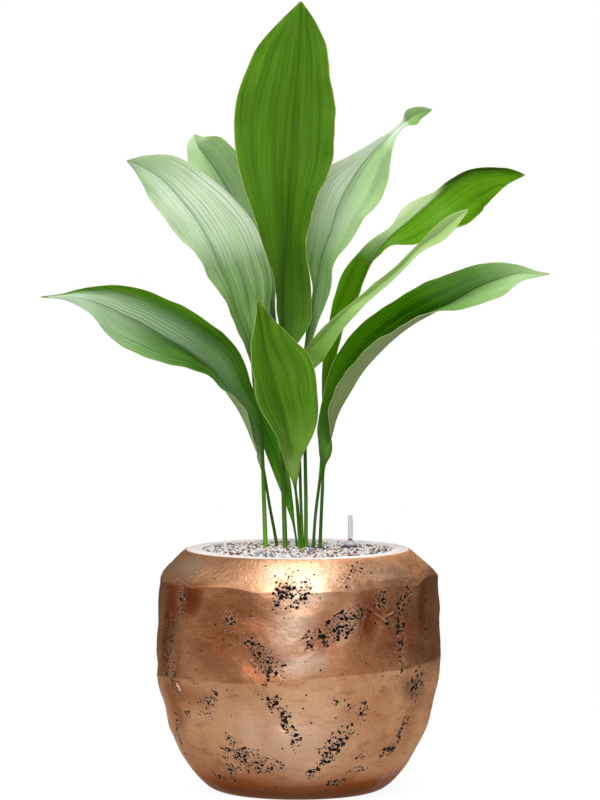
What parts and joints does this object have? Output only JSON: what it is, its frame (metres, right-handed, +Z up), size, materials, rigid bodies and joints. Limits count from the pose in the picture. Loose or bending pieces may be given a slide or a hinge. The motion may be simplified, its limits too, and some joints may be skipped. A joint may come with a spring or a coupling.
{
  "type": "potted cast iron plant",
  "caption": "Cast iron plant with long folded lance shaped leaves on their own stalks, in a faceted round pitted copper pot of gravel with a sliding water level gauge.",
  "frame": {"origin": "middle of the pot's flat foot, on the surface it stands on", "axes": "+Z up, the side seen in the picture faces -Y, +X to the right"},
  "size_m": [0.5924, 0.3357, 0.9351],
  "materials": {
    "pot": "satin",
    "granulate": "matte",
    "leaf_tall": "satin",
    "leaf_back_left": "satin",
    "leaf_upper_left": "satin",
    "leaf_lower_left": "satin",
    "leaf_upper_right": "satin",
    "leaf_right": "satin",
    "leaf_right_front": "satin",
    "leaf_young": "satin",
    "leaf_lower_right": "satin",
    "leaf_inner": "satin",
    "gauge_body": "matte",
    "gauge_window": "gloss",
    "gauge_float": "satin"
  },
  "bodies": {
    "planter": {"pot": "pot", "granulate": "granulate", "leaf_tall": "leaf_tall", "leaf_back_left": "leaf_back_left", "leaf_upper_left": "leaf_upper_left", "leaf_lower_left": "leaf_lower_left", "leaf_upper_right": "leaf_upper_right", "leaf_right": "leaf_right", "leaf_right_front": "leaf_right_front", "leaf_young": "leaf_young", "leaf_lower_right": "leaf_lower_right", "leaf_inner": "leaf_inner", "gauge_body": "gauge_body", "gauge_window": "gauge_window"},
    "float": {"gauge_float": "gauge_float"}
  },
  "joints": [
    {"name": "float_slide", "type": "slide", "parent": "planter", "child": "float", "axis": [0, 0, 1], "range_m": [0, 0.021]}
  ]
}
